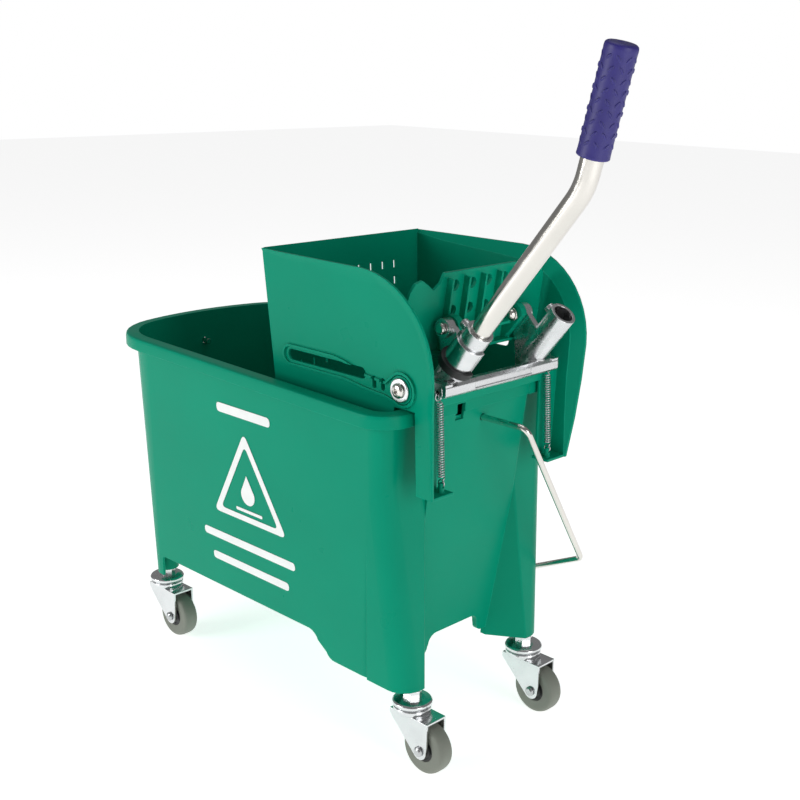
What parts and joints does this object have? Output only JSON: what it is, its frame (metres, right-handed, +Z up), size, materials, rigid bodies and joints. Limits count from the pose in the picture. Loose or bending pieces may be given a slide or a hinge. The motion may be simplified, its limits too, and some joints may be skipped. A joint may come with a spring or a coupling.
{
  "type": "mop bucket with lever wringer",
  "caption": "Wheeled green mop bucket with a lift-off lever wringer, swivel casters, return springs and a wire carry bail.",
  "frame": {"origin": "on the floor, under the middle of the whole object's box", "axes": "+X towards the wringer end, +Y across the bucket towards the spare socket, +Z up"},
  "size_m": [0.6474, 0.272, 0.6715],
  "materials": {
    "green_plastic": "moulded polypropylene, satin gloss with a light texture",
    "bright_steel": "bright plated steel, lightly brushed along the tube",
    "zinc_plate": "bright zinc-plated pressed and cast steel",
    "dark_steel": "plain zinc-plated spring and fastener steel",
    "blue_grip": "soft blue vinyl grip with raised marks",
    "black_rubber": "matt black ring",
    "black_plastic": "black moulded wheel hub",
    "grey_tyre": "non-marking grey rubber, matt"
  },
  "bodies": {
    "bucket": {"bucket_body": "green_plastic", "caster_stem_front_left": "zinc_plate", "caster_stem_front_right": "zinc_plate", "caster_stem_rear_left": "zinc_plate", "caster_stem_rear_right": "zinc_plate"},
    "bail": {"bail_handle": "bright_steel"},
    "wringer": {"wringer_hopper": "green_plastic", "pivot_bolt_left": "bright_steel", "pivot_washer_left": "zinc_plate", "pivot_nut_left": "dark_steel", "return_spring_left": "dark_steel", "pivot_bolt_right": "bright_steel", "pivot_washer_right": "zinc_plate", "pivot_nut_right": "dark_steel", "return_spring_right": "dark_steel"},
    "lever": {"yoke": "zinc_plate", "press_plate": "green_plastic", "handle_tube": "bright_steel", "handle_grip": "blue_grip", "socket_collar": "zinc_plate", "socket_ring": "black_rubber", "clamp_screw": "dark_steel", "press_bolt_left": "bright_steel", "press_nut_left": "bright_steel", "press_bolt_right": "bright_steel", "press_nut_right": "bright_steel"},
    "caster_front_left": {"caster_fork_front_left": "zinc_plate", "wheel_axle_front_left": "dark_steel", "axle_nut_front_left": "dark_steel"},
    "wheel_front_left": {"wheel_hub_front_left": "black_plastic", "wheel_tyre_front_left": "grey_tyre"},
    "caster_front_right": {"caster_fork_front_right": "zinc_plate", "wheel_axle_front_right": "dark_steel", "axle_nut_front_right": "dark_steel"},
    "wheel_front_right": {"wheel_hub_front_right": "black_plastic", "wheel_tyre_front_right": "grey_tyre"},
    "caster_rear_left": {"caster_fork_rear_left": "zinc_plate", "wheel_axle_rear_left": "dark_steel", "axle_nut_rear_left": "dark_steel"},
    "wheel_rear_left": {"wheel_hub_rear_left": "black_plastic", "wheel_tyre_rear_left": "grey_tyre"},
    "caster_rear_right": {"caster_fork_rear_right": "zinc_plate", "wheel_axle_rear_right": "dark_steel", "axle_nut_rear_right": "dark_steel"},
    "wheel_rear_right": {"wheel_hub_rear_right": "black_plastic", "wheel_tyre_rear_right": "grey_tyre"}
  },
  "joints": [
    {"name": "wringer_lift", "type": "slide", "parent": "bucket", "child": "wringer", "axis": [0, 0, 1], "range_m": [0, 0.2]},
    {"name": "lever_pivot", "type": "hinge", "parent": "wringer", "child": "lever", "pos_m": [0.1311, 0, 0.374], "axis": [0, -1, 0], "range_deg": [0, 75], "stiffness_Nm_per_rad": 1.5, "springref_deg": -20.05, "deforming": ["return_spring_left", "return_spring_right"]},
    {"name": "bail_swing", "type": "hinge", "parent": "bucket", "child": "bail", "pos_m": [0, 0, 0.331], "axis": [1, 0, 0], "range_deg": [0, 95]},
    {"name": "swivel_front_left", "type": "hinge", "parent": "bucket", "child": "caster_front_left", "pos_m": [0.1341, 0.0833, 0.06], "axis": [0, 0, 1], "continuous": true},
    {"name": "roll_front_left", "type": "hinge", "parent": "caster_front_left", "child": "wheel_front_left", "pos_m": [0.1561, 0.0833, 0.025], "axis": [0, 1, 0], "continuous": true},
    {"name": "swivel_front_right", "type": "hinge", "parent": "bucket", "child": "caster_front_right", "pos_m": [0.1341, -0.0833, 0.06], "axis": [0, 0, 1], "continuous": true},
    {"name": "roll_front_right", "type": "hinge", "parent": "caster_front_right", "child": "wheel_front_right", "pos_m": [0.1561, -0.0833, 0.025], "axis": [0, 1, 0], "continuous": true},
    {"name": "swivel_rear_left", "type": "hinge", "parent": "bucket", "child": "caster_rear_left", "pos_m": [-0.2664, 0.0833, 0.06], "axis": [0, 0, 1], "continuous": true},
    {"name": "roll_rear_left", "type": "hinge", "parent": "caster_rear_left", "child": "wheel_rear_left", "pos_m": [-0.2444, 0.0833, 0.025], "axis": [0, 1, 0], "continuous": true},
    {"name": "swivel_rear_right", "type": "hinge", "parent": "bucket", "child": "caster_rear_right", "pos_m": [-0.2664, -0.0833, 0.06], "axis": [0, 0, 1], "continuous": true},
    {"name": "roll_rear_right", "type": "hinge", "parent": "caster_rear_right", "child": "wheel_rear_right", "pos_m": [-0.2444, -0.0833, 0.025], "axis": [0, 1, 0], "continuous": true}
  ]
}
